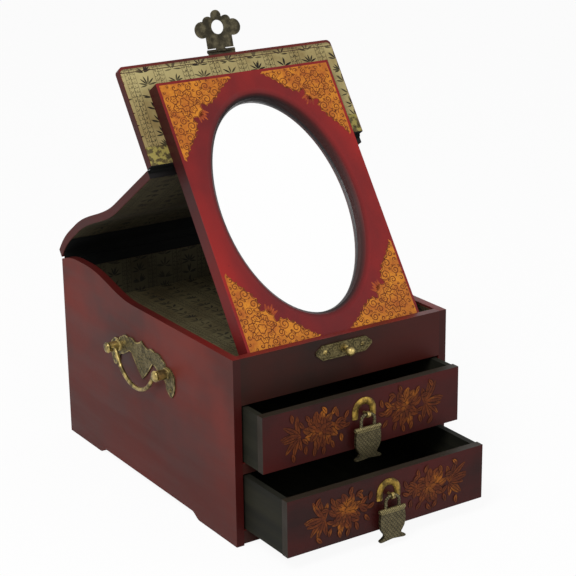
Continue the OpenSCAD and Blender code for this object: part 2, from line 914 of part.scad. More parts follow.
// A fish on a shackle, like the body of a padlock
module fish(z, out) {
    outline = [for (p = fish_side) [p[0] * collar_l, -p[1] * fish_l]];
    half = shackle_w / 2 - shackle_bend;
    ribs = 24;
    color([0.35, 0.32, 0.22])
        translate([0, front_y - out - pull_off, z + shoe_z - pull_drop])
            union() {
                rod(-half, half, shackle_r);
                for (s = [0, 1])
                    mirror([s, 0, 0]) {
                        translate([half, 0, -shackle_bend])
                            rotate([90, 0, 0])
                                rotate_extrude(angle = 90)
                                    translate([shackle_bend, 0])
                                        circle(r = shackle_r, $fn = 24);
                        translate([shackle_w / 2, 0, -collar_drop])
                            cylinder(h = collar_drop - shackle_bend, r = shackle_r, $fn = 24);
                    }
                translate([0, 0, -collar_drop])
                    rotate([0, 90, 0])
                        rotate_extrude($fn = 18)
                            polygon(concat([[0, -collar_l]],
                                [for (i = [0 : ribs]) [collar_r * (i % 2 == 0 ? 0.82 : 1), -collar_l + 2 * collar_l * i / ribs]],
                                [[0, collar_l]]));
                forward(fish_t / 2, fish_t)
                    translate([0, -collar_drop])
                        polygon(concat(outline, [for (p = reversed(outline)) if (p[0] > 0) [-p[0], p[1]]]));
            }
}

module upper_shoe() {
    shoe(upper_z, upper_out);
}

module upper_staple() {
    staple(upper_z, upper_out);
}

module upper_fish() {
    fish(upper_z, upper_out);
}

module lower_shoe() {
    shoe(lower_z, lower_out);
}

module lower_staple() {
    staple(lower_z, lower_out);
}

module lower_fish() {
    fish(lower_z, lower_out);
}

// Side handles, drawn on the right and mirrored for the left

// Half of the plate's outline, like a bat with spread wings, for posts at 40 and a height of 32.8
bat_lobes = [[0, 15.8], [11, 11.6], [22, 12], [33, 10], [38.8, 5.2], [49.5, 3], [52.6, -4]];
bat_wing = [[52.8, -8.5], [51, -14], [48, -18], [45.4, -18.4], [42, -16], [38.5, -12.4], [38.6, -8.6],
    [36, -6.4], [31, -5], [26, -2.4], [21, 0.6], [17.5, 0.4], [12.5, -5.4], [6.5, -12], [0, -17]];

module bat_outline() {
    k = [(post_span / 2 + plate_wing) / 53, plate_h / 32.8];
    top = [for (i = [0 : 5]) for (p = bulge(bat_lobes[i], bat_lobes[i + 1],
        (i == 0 ? -0.08 : 0.16) * norm(bat_lobes[i + 1] - bat_lobes[i]))) p];
    right = [for (p = concat(top, [bat_lobes[6]], bat_wing)) [p[0] * k[0], p[1] * k[1]]];
    left = [for (p = reversed(right)) if (p[0] > 0) [-p[0], p[1]]];
    polygon(concat(right, left));
}

module handle_plate() {
    color([0.38, 0.34, 0.22])
        translate([case_w / 2, mid_y, post_z])
            rotate([90, 0, 90])
                linear_extrude(plate_t)
                    bat_outline();
}

// A stout post with a flange on the plate, a neck and a domed head
module handle_posts() {
    tip = post_out + head_out;
    color([0.55, 0.48, 0.28])
        for (s = [-1, 1])
            translate([case_w / 2, mid_y + s * post_span / 2, post_z])
                difference() {
                    rotate([0, 90, 0])
                        rotate_extrude()
                            polygon([[0, plate_t], [post_r + 1, plate_t], [post_r + 0.8, plate_t + 0.9],
                                [post_r, plate_t + 1.4], [post_r, post_out + wire_r + 0.5],
                                [post_r * 0.62, post_out + wire_r + 1], [post_r * 0.62, tip - 2.6],
                                [head_r - 0.6, tip - 2.4], [head_r, tip - 1.8], [head_r * 0.86, tip - 0.8],
                                [head_r * 0.5, tip - 0.2], [0, tip]]);
                    translate([post_out, 0, 0])
                        rotate([s * 90, 0, 0])
                            cylinder(h = post_r + 1, r = wire_r + pin_gap);
                    translate([post_out, 0, 0])
                        sphere(r = wire_r + pin_gap);
                }
}

// The bail's wire: a pin, a small bend and half of the large bow, twice
// The bow and the pins are a hair thinner than the bends and reach a little into them
module bail() {
    r = wire_r - 0.05;
    over = 0.3;
    turn = bail_turn + over / bail_r * 180 / PI;
    color([0.6, 0.52, 0.3])
        translate([post_x, mid_y, post_z]) {
            for (s = [0, 1])
                mirror([0, s, 0]) {
                    translate([0, bail_half - over, 0])
                        rotate([-90, 0, 0])
                            cylinder(h = post_span / 2 - bail_half - 0.3 + over, r = r);
                    translate([0, bail_half, -bail_bend])
                        rotate([90, 0, 90])
                            rotate([0, 0, 90])
                                rotate_extrude(angle = bail_turn)
                                    translate([bail_bend, 0])
                                        circle(r = wire_r);
                }
            translate([0, 0, bail_r - bail_drop])
                rotate([90, 0, 90])
                    rotate([0, 0, -90 - turn])
                        rotate_extrude(angle = 2 * turn)
                            translate([bail_r, 0])
                                circle(r = r);
        }
}

module handle_plate_right() {
    handle_plate();
}

module handle_posts_right() {
    handle_posts();
}

module bail_right() {
    bail();
}

module handle_plate_left() {
    mirror([1, 0, 0])
        handle_plate();
}

module handle_posts_left() {
    mirror([1, 0, 0])
        handle_posts();
}

module bail_left() {
    mirror([1, 0, 0])
        bail();
}

// Every piece by name

side_left();
side_right();
back_panel();
apron();
bottom_rail();
middle_rail();
bottom_board();
drawer_shelf();
tray_floor();
tray_lining();
rear_hinge_case_leaves();
rear_hinge_pins();
foot_hinge_case_leaves();
foot_hinge_pins();
latch_plate();
latch_knob();
handle_plate_left();
handle_posts_left();
bail_left();
handle_plate_right();
handle_posts_right();
bail_right();
lid_rear();
lid_rear_lining();
rear_hinge_lid_leaves();
fold_hinge_rear_leaves();
fold_hinge_pins();
lid_front();
lid_front_lining();
fold_hinge_front_leaves();
hasp_base();
hasp_pin();
hasp_plate();
mirror_frame();
mirror_glass();
mirror_backing();
foot_hinge_mirror_leaves();
upper_front();
upper_side_left();
upper_side_right();
upper_back();
upper_bottom();
upper_shoe();
upper_staple();
upper_fish();
lower_front();
lower_side_left();
lower_side_right();
lower_back();
lower_bottom();
lower_shoe();
lower_staple();
lower_fish();
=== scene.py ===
# %% [markdown]
# This lesson dresses a red lacquered vanity box that is already built as a CAD model.
# The CAD pieces stay where they are, and Blender adds finish: lacquer, gilding, paper, brass.
# Everything is in metres, with +Z up and the front of the box towards -Y.

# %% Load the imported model
import json
import math
import random

import bpy
from mathutils import Matrix, Vector

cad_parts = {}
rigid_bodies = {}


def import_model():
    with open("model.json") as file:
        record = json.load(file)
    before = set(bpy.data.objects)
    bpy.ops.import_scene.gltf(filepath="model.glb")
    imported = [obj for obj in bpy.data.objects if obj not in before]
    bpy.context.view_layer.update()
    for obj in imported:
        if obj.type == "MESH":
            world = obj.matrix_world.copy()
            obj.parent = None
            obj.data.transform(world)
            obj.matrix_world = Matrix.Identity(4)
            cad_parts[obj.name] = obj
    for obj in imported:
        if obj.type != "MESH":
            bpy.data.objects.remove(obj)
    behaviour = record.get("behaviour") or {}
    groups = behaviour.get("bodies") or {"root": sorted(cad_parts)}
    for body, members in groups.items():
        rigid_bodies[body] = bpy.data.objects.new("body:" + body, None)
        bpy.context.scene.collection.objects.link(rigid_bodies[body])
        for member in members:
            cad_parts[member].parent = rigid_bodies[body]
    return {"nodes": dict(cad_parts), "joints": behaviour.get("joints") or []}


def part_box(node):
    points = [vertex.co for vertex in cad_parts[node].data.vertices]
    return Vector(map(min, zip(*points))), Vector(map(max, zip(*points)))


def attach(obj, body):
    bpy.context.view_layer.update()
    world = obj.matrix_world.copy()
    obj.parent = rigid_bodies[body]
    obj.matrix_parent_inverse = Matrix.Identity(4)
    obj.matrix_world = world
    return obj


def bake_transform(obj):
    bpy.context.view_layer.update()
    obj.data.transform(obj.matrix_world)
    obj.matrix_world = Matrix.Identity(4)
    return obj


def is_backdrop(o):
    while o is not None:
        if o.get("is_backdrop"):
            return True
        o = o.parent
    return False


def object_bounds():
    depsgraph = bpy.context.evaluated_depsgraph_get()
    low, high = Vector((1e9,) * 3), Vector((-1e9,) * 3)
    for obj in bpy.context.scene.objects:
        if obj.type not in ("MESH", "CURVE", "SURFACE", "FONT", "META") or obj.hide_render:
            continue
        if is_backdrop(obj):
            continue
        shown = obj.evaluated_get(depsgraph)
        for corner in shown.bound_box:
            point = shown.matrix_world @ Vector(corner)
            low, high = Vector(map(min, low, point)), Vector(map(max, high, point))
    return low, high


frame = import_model()
cad_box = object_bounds()
nodes = frame["nodes"]
joints = {j["name"]: j for j in frame["joints"]}
print(len(nodes), "pieces in a box of", [round(v, 4) for v in cad_box[1] - cad_box[0]])

# %% [markdown]
# The photograph was taken from the left, a little above, through a long lens.
# The camera is given by its place and by three angles: how far round it stands, how high, and how
# much it is rolled. A long lens keeps the box's parallel edges nearly parallel.

# %% Place the camera
MM = 0.001
AZIMUTH, ELEVATION, ROLL = (math.radians(a) for a in (-33.21, 18.45, -0.733))
CAMERA_PLACE = Vector((-0.71926, -1.13103, 0.60732))
LENS, SENSOR = 108.25, 36
back = Vector((math.sin(AZIMUTH) * math.cos(ELEVATION), -math.cos(AZIMUTH) * math.cos(ELEVATION),
               math.sin(ELEVATION)))
level = Vector((math.cos(AZIMUTH), math.sin(AZIMUTH), 0))
upright = back.cross(level)
right = math.cos(ROLL) * level + math.sin(ROLL) * upright
up = back.cross(right)

camera = bpy.data.objects.new("camera", bpy.data.cameras.new("camera"))
bpy.context.scene.collection.objects.link(camera)
camera.data.sensor_width = SENSOR
camera.data.lens = LENS
camera.data.clip_start, camera.data.clip_end = 0.05, 60
turned = Matrix((right, up, back)).transposed().to_4x4()
camera.matrix_world = Matrix.Translation(CAMERA_PLACE) @ turned
bpy.context.scene.camera = camera
print("camera", [round(v, 3) for v in camera.matrix_world.translation])

# %% [markdown]
# Every finish below is a small network of shader nodes, and most of the work in it is arithmetic on
# masks. Written with node links that arithmetic is hard to read, so one small class wraps a socket
# and lets the usual operators add the Math nodes. A second class holds a material and adds any
# other node by its type. Two short functions give a finish to a piece and make a new piece.

# %% Write shader maths as plain expressions
class Value:
    """A number that varies over a surface, such as a mask."""

    def __init__(self, finish, socket):
        self.finish, self.socket = finish, socket

    def rise(self, low, high):
        """0 below low, 1 above high, and smooth between; low may be the larger."""
        if low > high:
            return 1 - self.rise(high, low)
        return self.finish.node("MapRange", {"interpolation_type": "SMOOTHSTEP"}, self, low, high, 0.0, 1.0)


def method(operation, swapped=False):
    """A method of Value that adds one Math node."""
    def apply(a, b=None):
        inputs = (b, a) if swapped else (a, b)
        return a.finish.node("Math", {"operation": operation}, *inputs)

    return apply


METHODS = {"__add__": "ADD", "__sub__": "SUBTRACT", "__mul__": "MULTIPLY", "__truediv__": "DIVIDE",
           "__pow__": "POWER", "__mod__": "FLOORED_MODULO", "__abs__": "ABSOLUTE", "__lt__": "LESS_THAN",
           "__gt__": "GREATER_THAN", "sin": "SINE", "cos": "COSINE", "root": "SQRT", "floor": "FLOOR",
           "least": "MINIMUM", "most": "MAXIMUM"}
for name, operation in METHODS.items():
    setattr(Value, name, method(operation))
for name, operation in (("__radd__", "ADD"), ("__rsub__", "SUBTRACT"), ("__rmul__", "MULTIPLY")):
    setattr(Value, name, method(operation, swapped=True))


class Finish:
    """A material and the nodes in it."""

    def __init__(self, name):
        self.material = bpy.data.materials.new(name)
        self.material.use_nodes = True
        self.tree = self.material.node_tree
        self.shader = self.tree.nodes["Principled BSDF"]
        self.place = self.node("TexCoord", {}, out="Object")
        self.x, self.y, self.z = (self.split(self.place, axis) for axis in "XYZ")

    def node(self, kind, settings=None, *inputs, out=0, **named):
        made = self.tree.nodes.new("ShaderNode" + kind)
        for key, value in (settings or {}).items():
            setattr(made, key, value)
        for slot, value in [*enumerate(inputs), *named.items()]:
            self.put(made.inputs[slot], value)
        return Value(self, made.outputs[out])

    def put(self, socket, value):
        if isinstance(value, Value):
            self.tree.links.new(value.socket, socket)
        elif value is not None:
            socket.default_value = value

    def split(self, vector, axis):
        return self.node("SeparateXYZ", {}, vector, out=axis)

    def noise(self, scale, detail=2.0, stretch=(1, 1, 1), roughness=0.5):
        moved = self.node("VectorMath", {"operation": "MULTIPLY"}, self.place, stretch)
        return self.node("TexNoise", {}, Vector=moved, Scale=scale, Detail=detail, Roughness=roughness)

    def mix(self, share, a, b):
        """Colour a where share is 0 and b where it is 1; the node's five number inputs stay as they are."""
        numbers = [None] * 5
        return self.node("Mix", {"data_type": "RGBA"}, share, *numbers, colour(a), colour(b), out=2)

    def normal(self, axis):
        return self.split(self.node("NewGeometry", {}, out="Normal"), axis)

    def bump(self, height, depth, strength=1.0):
        return self.node("Bump", {}, Strength=strength, Distance=depth, Height=height)

    def lay(self, **sockets):
        for key, value in sockets.items():
            self.put(self.shader.inputs[key.replace("_", " ")], colour(value))
        return self


def colour(value):
    """Screen colours, 0 to 255, as the linear colour that a shader wants."""
    if not isinstance(value, (tuple, list)):
        return value
    linear = [(c / 255 / 12.92) if c < 10 else ((c / 255 + 0.055) / 1.055) ** 2.4 for c in value]
    return (*linear, 1.0)


def wear(finish, *names):
    """Gives a finish to CAD pieces."""
    for name in names:
        materials = nodes[name].data.materials
        materials.clear()
        materials.append(finish.material)


def new_piece(name, points, faces, *looks):
    """A new mesh in the scene, with one finish or several."""
    mesh = bpy.data.meshes.new(name)
    mesh.from_pydata([tuple(p) for p in points], [], faces)
    for look in looks:
        mesh.materials.append(look.material)
    piece = bpy.data.objects.new(name, mesh)
    bpy.context.scene.collection.objects.link(piece)
    return piece


print("a Value has", len(METHODS), "operations")

# %% [markdown]
# The product was photographed on a white ground in soft, even light that comes mostly from above
# and from the left: the left side and the mirror's face are lit, and the front is in half shade.
# One large lamp gives that, a weak one fills the front, and a white world is what the mirror and
# the brass reflect. The ground is white to the eye but still takes the box's shadow.

# %% Light the box and lay the ground
def lamp(name, place, aim, size, power):
    """A round lamp that looks at a point."""
    light = bpy.data.lights.new(name, "AREA")
    light.shape, light.size, light.energy = "DISK", size, power
    made = bpy.data.objects.new(name, light)
    bpy.context.scene.collection.objects.link(made)
    made.location = place
    made.rotation_euler = (Vector(place) - Vector(aim)).to_track_quat("Z", "Y").to_euler()


MIDDLE = (0, 0.02, 0.14)
DIFFUSE_SKY, SEEN_SKY = 0.42, 1.0
GROUND_GLOW = 0.93
GROUND_HALF = 9
lamp("key lamp", (-1.3, -0.9, 1.9), MIDDLE, 1.1, 34)
lamp("fill lamp", (1.2, -1.9, 0.9), MIDDLE, 1.2, 7)

world = bpy.data.worlds.new("studio")
bpy.context.scene.world = world
world.use_nodes = True
sky = world.node_tree


def either(a, b):
    """The larger of two sockets."""
    made = sky.nodes.new("ShaderNodeMath")
    made.operation = "MAXIMUM"
    sky.links.new(a, made.inputs[0])
    sky.links.new(b, made.inputs[1])
    return made.outputs[0]


rays = sky.nodes.new("ShaderNodeLightPath").outputs
seen = either(rays["Is Camera Ray"], either(rays["Is Glossy Ray"], rays["Is Transmission Ray"]))
strength = sky.nodes.new("ShaderNodeMapRange")
strength.inputs["To Min"].default_value = DIFFUSE_SKY
strength.inputs["To Max"].default_value = SEEN_SKY
sky.links.new(seen, strength.inputs["Value"])
sky.nodes["Background"].inputs["Color"].default_value = (1, 1, 1, 1)
sky.links.new(strength.outputs[0], sky.nodes["Background"].inputs["Strength"])

white = Finish("white ground")
white.lay(Base_Color=(250, 250, 250), Roughness=0.9, Specular_IOR_Level=0.0)
glow = white.node("Emission", {}, colour((255, 255, 255)), 1.0)
share = white.node("LightPath", {}, out="Is Camera Ray") * GROUND_GLOW
blend = white.node("MixShader", {}, share, Value(white, white.shader.outputs[0]), glow)
white.put(white.tree.nodes["Material Output"].inputs["Surface"], blend)
rim = [(-GROUND_HALF, -GROUND_HALF, 0), (GROUND_HALF, -GROUND_HALF, 0), (GROUND_HALF, GROUND_HALF, 0),
       (-GROUND_HALF, GROUND_HALF, 0)]
ground = new_piece("ground", rim, [(0, 1, 2, 3)], white)
ground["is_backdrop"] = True

# %% [markdown]
# The case is wood under red lacquer that was rubbed back by hand. Close up it is never one colour:
# clouds of dark brown lie in the red, faint brush marks run along the boards, and the red shows
# brightest where hands and cloths have worn an edge. Three noises at three scales give the clouds,
# the marks and small dark specks. The direction of a face tells which ones are edges, so the worn
# colour needs no painting.

# %% Red lacquer for the case and the lid
def lacquer(name, deep, red, worn, streak=(1, 1, 1), edge_share=0.75):
    """Red over deep brown clouds, with the worn colour where a face looks up."""
    finish = Finish(name)
    clouds = finish.noise(9.0, 4.0, roughness=0.6).rise(0.32, 0.68)
    marks = finish.noise(60.0, 3.0, streak).rise(0.3, 0.75)
    base = finish.mix((clouds * 0.8 + marks * 0.3).least(1.0), deep, red)
    specks = finish.noise(420.0, 2.0).rise(0.66, 0.74)
    base = finish.mix(specks * 0.35, base, deep)
    rubbed = finish.normal("Z").rise(0.8, 0.95)
    rubbed = rubbed * (0.45 + 0.55 * finish.noise(35.0, 3.0).rise(0.3, 0.6)) * edge_share
    finish.lay(Base_Color=finish.mix(rubbed, base, worn),
               Roughness=0.34 + 0.16 * marks + 0.1 * clouds, Specular_IOR_Level=0.16,
               Normal=finish.bump(marks + specks * 0.5, 0.1 * MM, 0.35))
    return finish


def recolour(finish, share, tone):
    """Paints over what a finish shows, by a mask."""
    link = finish.shader.inputs["Base Color"].links[0]
    finish.lay(Base_Color=finish.mix(share, Value(finish, link.from_socket), tone))


case_red = lacquer("rubbed red lacquer", deep=(58, 24, 19), red=(110, 42, 34), worn=(110, 20, 17),
                   streak=(1, 0.12, 1))
recolour(case_red, case_red.z.rise(0.13, 0.02) * 0.6, (72, 20, 12))
# Tops of the boards towards the back, under the open lid, are painted darker: painted shade.
recolour(case_red, case_red.normal("Z").rise(0.8, 0.95) * case_red.y.rise(-0.1, 0.04) * 0.7, (48, 15, 14))
ends = case_red.normal("Y").rise(-0.8, -0.97)
recolour(case_red, ends, case_red.mix(case_red.z.rise(0.125, 0.1), (54, 20, 17), (62, 12, 9)))
wear(case_red, "side_left", "side_right", "back_panel")
front_red = lacquer("dark front lacquer", deep=(34, 22, 17), red=(60, 25, 19), worn=(112, 26, 22),
                    streak=(0.12, 1, 1), edge_share=0.8)
redder = front_red.x.rise(-0.02, 0.1) * front_red.normal("Y").rise(-0.8, -0.9)
recolour(front_red, redder * 0.6, (74, 20, 15))
wear(front_red, "apron", "bottom_rail", "middle_rail")
print("lacquered the case")

# %% [markdown]
# The lid's two leaves fold along one line, and the raw ends that meet there are painted black, so
# that the fold reads as a dark groove. The same lacquer gets a mask for them: how far a point lies
# from the fold, measured along its leaf. The fold's place comes from the joints of the CAD model,
# and the two slopes are those of the position in the photograph.

# %% Lacquer the lid, with black ends at the fold
fold = Vector(joints["lid_fold"]["pos_m"])
foot_pin = Vector(joints["mirror_tilt"]["pos_m"])
lean = math.radians(55.27)
lid_rise = math.radians(34.7)
leaf_way = Vector((0, math.cos(lean), math.sin(lean)))
rear_way = Vector((0, math.cos(lid_rise), -math.sin(lid_rise)))


def along(finish, way, start):
    """Distance of a point from a start, measured along a direction."""
    return finish.x * way.x + finish.y * way.y + finish.z * way.z - start.dot(way)


def lid_lacquer(name, way):
    """Lacquer whose end at the fold is black; way runs from the fold along the leaf."""
    finish = lacquer(name, deep=(60, 24, 20), red=(104, 36, 30), worn=(84, 44, 38), streak=(1, 0.12, 0.12))
    recolour(finish, abs(finish.normal("X")).rise(0.8, 0.9) * 0.6, (52, 18, 18))
    recolour(finish, along(finish, way, fold) < 0.7 * MM, (16, 14, 14))
    return finish


wear(lid_lacquer("front leaf lacquer", leaf_way), "lid_front")
wear(lid_lacquer("rear leaf lacquer", rear_way), "lid_rear")
print("lean", round(math.degrees(lean), 2), "fold at", [round(v, 4) for v in fold])

# %% [markdown]
# The mirror's frame is a brighter red. Its oval bevel and its edges are painted nearly black as
# painted shade, and the bevel is painted lighter on its right side, which faces the lamp. Where
# the bevel is follows from two numbers for each point: how far out from the oval's middle it lies,
# and how deep behind the face. The mirror turns on a pin at its foot, and its lower edge and its
# face lie about a millimetre off that pin.

# %% Lacquer the mirror frame
face_way = Vector((0, -math.sin(lean), math.cos(lean)))
OVAL_A, OVAL_B = 67.1 * MM, 98.0 * MM
MIRROR_W, MIRROR_H = 161 * MM, 226 * MM
FOOT_UP, FACE_OFF = 0.6 * MM, 1.1 * MM


def on_face(x, height, lift=0.0):
    """A point on the mirror's face: across, up from its lower edge, and out from the face."""
    return foot_pin + leaf_way * (height + FOOT_UP) + face_way * (FACE_OFF + lift) + Vector((x, 0, 0))


frame_red = lacquer("mirror frame lacquer", deep=(98, 26, 28), red=(146, 36, 33), worn=(150, 40, 34),
                    streak=(1, 0.3, 0.3), edge_share=0.25)
depth = 0 - along(frame_red, face_way, on_face(0, 0))
height = along(frame_red, leaf_way, on_face(0, MIRROR_H / 2))
round_oval = ((frame_red.x / OVAL_A) ** 2.0 + (height / OVAL_B) ** 2.0).root()
# Painted shade: the face darkens towards the oval, where the frame rounds over into it.
recolour(frame_red, round_oval.rise(1.3, 1.0) * 0.4, (84, 28, 32))
within = round_oval.rise(1.004, 0.996)
bevel = depth.rise(0.0, 3.4 * MM) * within
# Painted shade in the bevel: darker at its top, dark through it, painted lighter on the right side that
# faces the lamp, and a dark line where it meets the glass.
recolour(frame_red, depth.rise(0.0, 1.6 * MM) * within * 0.7, (70, 18, 18))
painted_lit_side = (frame_red.x / OVAL_A).rise(0.1, 0.8)
recolour(frame_red, bevel, frame_red.mix(painted_lit_side, (24, 15, 16), (46, 15, 13)))
recolour(frame_red, depth.rise(7.2 * MM, 7.8 * MM) * within, (20, 14, 16))
# Painted shade and a painted highlight on the frame's outer sides: they are darkened, most on the upper
# half where they stand on the lid's paper, and a thin bright line runs along their front edge.
flank = depth.rise(0.3 * MM, 0.9 * MM) * round_oval.rise(1.01, 1.05)
recolour(frame_red, flank * 0.5, (70, 20, 20))
recolour(frame_red, flank * height.rise(-0.09, 0.03) * 0.8, (40, 22, 21))
recolour(frame_red, abs(depth).rise(0.6 * MM, 0.2 * MM) * flank * 0.6, (150, 34, 30))
wear(frame_red, "mirror_frame")

silver = Finish("silvered glass")
silver.lay(Base_Color=(254, 254, 254), Metallic=1.0, Roughness=0.015 + 0.01 * silver.noise(14.0, 2.0))
wear(silver, "mirror_glass")
print("mirror face at", [round(v, 4) for v in on_face(0, MIRROR_H / 2)])

# %% [markdown]
# The drawers are stained a dark olive inside and out, except for their fronts. Bare stained wood
# shows its grain, which is noise drawn out along the board, and hardly shines.

# %% Stained wood for the drawers, the shelves and the mirror's back
def stained(name, dark, light, grain):
    """Bare stained wood; grain is small along the board's length."""
    finish = Finish(name)
    lines = finish.noise(90.0, 5.0, grain, 0.65)
    rings = finish.noise(14.0, 2.0, grain).rise(0.35, 0.65)
    finish.lay(Base_Color=finish.mix((lines.rise(0.3, 0.7) * 0.7 + rings * 0.3), dark, light),
               Roughness=0.62 + 0.2 * lines, Specular_IOR_Level=0.15,
               Normal=finish.bump(lines, 0.2 * MM, 0.4))
    return finish


OLIVE = {"dark": (20, 20, 15), "light": (40, 39, 29)}
olive_long = stained("olive stain along", **OLIVE, grain=(1.0, 0.06, 1.0))
olive_cross = stained("olive stain across", **OLIVE, grain=(0.06, 1.0, 1.0))
wear(olive_long, *(f"{d}_{p}" for d in ("upper", "lower") for p in ("side_left", "side_right", "bottom")))
wear(olive_cross, "upper_back", "lower_back")
bare = stained("brown stain", dark=(48, 34, 24), light=(92, 66, 44), grain=(1.0, 0.06, 0.06))
wear(bare, "bottom_board", "drawer_shelf", "tray_floor", "mirror_backing")

drawer_red = lacquer("drawer front lacquer", deep=(34, 13, 11), red=(68, 18, 15), worn=(80, 24, 20),
                     streak=(0.12, 1, 1), edge_share=0.3)
recolour(drawer_red, drawer_red.normal("Y").rise(-0.8, -0.5), (40, 33, 25))
wear(drawer_red, "upper_front", "lower_front")
print("stained", len([n for n in nodes if n.startswith(("upper", "lower"))]), "drawer pieces")

# %% [markdown]
# The brass was browned and then rubbed, so it is dark in its hollows and bright on its edges and
# knobs. Noise stands for the uneven browning. The thin plates are chased with small scrolls and the
# fish with scales, which are too fine for solids and are bumps here.

# %% Aged brass and dark bronze
def metal(name, brown, bright, rough, chased=None):
    """Brown in the hollows and bright where it was rubbed; chased may add a pattern."""
    finish = Finish(name)
    patina = finish.noise(160.0, 4.0, roughness=0.6).rise(0.36, 0.66)
    grit = finish.noise(900.0, 2.0)
    height = patina * 0.4 + grit * 0.15
    tone = finish.mix(patina, brown, bright)
    if chased:
        cut = chased(finish)
        height = height + cut
        tone = finish.mix(cut * 0.4, finish.mix(0.6, tone, brown), bright)
    finish.lay(Base_Color=tone, Metallic=0.85, Roughness=rough + 0.2 * (1 - patina),
               Normal=finish.bump(height, 0.3 * MM, 0.6))
    return finish


def chasing(finish):
    """Small curling ridges, from the cells of a warped pattern."""
    fineness = 260.0
    warp = finish.noise(fineness, 2.0)
    cells = finish.node("TexVoronoi", {"feature": "F1"}, Vector=finish.place, Scale=fineness)
    return (cells * 14 + warp * 5).sin().rise(-0.3, 0.5)


brass = metal("rubbed brass", brown=(84, 72, 44), bright=(190, 168, 104), rough=0.3)
plate_brass = metal("chased brass plate", brown=(60, 54, 36), bright=(146, 132, 88), rough=0.4,
                    chased=chasing)
gold_brass = metal("yellow brass", brown=(78, 62, 28), bright=(172, 140, 62), rough=0.34)
bronze = metal("dark bronze", brown=(50, 46, 35), bright=(78, 72, 54), rough=0.45)
wear(plate_brass, "handle_plate_left", "handle_plate_right", "latch_plate")
wear(brass, "latch_knob", "handle_posts_left", "handle_posts_right", "bail_left", "bail_right",
     "upper_staple", "lower_staple", *(n for n in nodes if "hinge" in n))
wear(gold_brass, "upper_shoe", "lower_shoe")
wear(bronze, "hasp_base", "hasp_pin", "hasp_plate")
print("brass on", sum(1 for n in nodes if "hinge" in n), "hinge pieces")

# %% [markdown]
# Each fish hangs by a ribbed collar. Its body is covered in rows of scales that overlap like
# tiles. One row of tiles is a repeat across; the next row is shifted by half, and in each tile the
# scale's edge is an arc. All of it is arithmetic on the distance across the fish and the distance
# below the collar.

# %% Scales on the fish
TILE, TILE_SHARE = 2.9 * MM, 0.6
COLLAR_DROP, COLLAR_R = 11.3 * MM, 1.9 * MM


def scaled_fish(name, pivot):
    """Scales below the collar and slanting ribs on it."""
    finish = Finish(name)
    down = (pivot.z - COLLAR_DROP) - finish.z
    rows = down / (TILE * TILE_SHARE)
    across = (finish.x / TILE + rows.floor() * 0.5) % 1.0 - 0.5
    drop = rows % 1.0
    edge = abs((across * across + (drop * TILE_SHARE) ** 2.0).root() - 0.5)
    line = edge.rise(0.1, 0.02)
    ribs = (finish.x * 4200.0 + finish.z * 2600.0).sin().rise(-0.4, 0.4)
    collar = abs(down).rise(COLLAR_R + 0.3 * MM, COLLAR_R)
    worn = finish.noise(300.0, 3.0).rise(0.35, 0.65)
    tone = finish.mix(worn * 0.5, (88, 80, 56), (122, 112, 80))
    tone = finish.mix(line * (1 - collar) * 0.9, tone, (26, 24, 17))
    tone = finish.mix(collar * ribs * 0.7, tone, (160, 146, 98))
    finish.lay(Base_Color=tone, Metallic=0.8, Roughness=0.36 + 0.2 * line,
               Normal=finish.bump((1 - line) * (1 - collar) + ribs * collar, 0.5 * MM, 0.7))
    return finish


for drawer in ("upper", "lower"):
    pivot = Vector(joints[f"{drawer}_pull_swing"]["pos_m"])
    wear(scaled_fish(f"{drawer} fish scales", pivot), f"{drawer}_fish")
    print(drawer, "fish hangs at", [round(v, 4) for v in pivot])

# %% [markdown]
# The lining is an old printed paper: fine rules, tall columns, and dark brush marks in every
# column. The marks here are small bamboo sprigs, a traditional motif, and no writing. A sprig is
# three or seven leaves that spread from one point, and a leaf is where the distance from its middle
# line is less than a width that swells and tapers. The plane is cut into cells, each cell gets its
# own random number, and that number turns its leaves.

# %% Printed paper
def leaves(finish, u, v, wide, high, size, angles, seed):
    """Brush leaves in cells of a plane; 1 on a leaf and 0 between."""
    column, line = (u / wide).floor(), (v / high).floor()
    cell = finish.node("CombineXYZ", {}, column, line, seed)
    chance = finish.node("TexWhiteNoise", {"noise_dimensions": "3D"}, cell, out="Value")
    a = u - (column + 0.5) * wide
    b = v - (line + 0.5) * high + size * 0.45
    found = None
    for i, angle in enumerate(angles):
        turn = (chance * (2.1 + i)) % 1.0 * 0.9 - 0.45 + math.radians(angle)
        reach = size * (0.75 + 0.25 * ((chance * (7.3 + i)) % 1.0))
        way_a, way_b = turn.sin(), turn.cos()
        share = (a * way_a + b * way_b) / reach
        off = abs(a * way_b - b * way_a)
        wide_here = size * 0.085 * (1 - (share * 2.0 - 1.1) ** 2.0)
        leaf = (wide_here - off).rise(-0.03 * MM, 0.12 * MM)
        found = leaf if found is None else found.most(leaf)
    return found


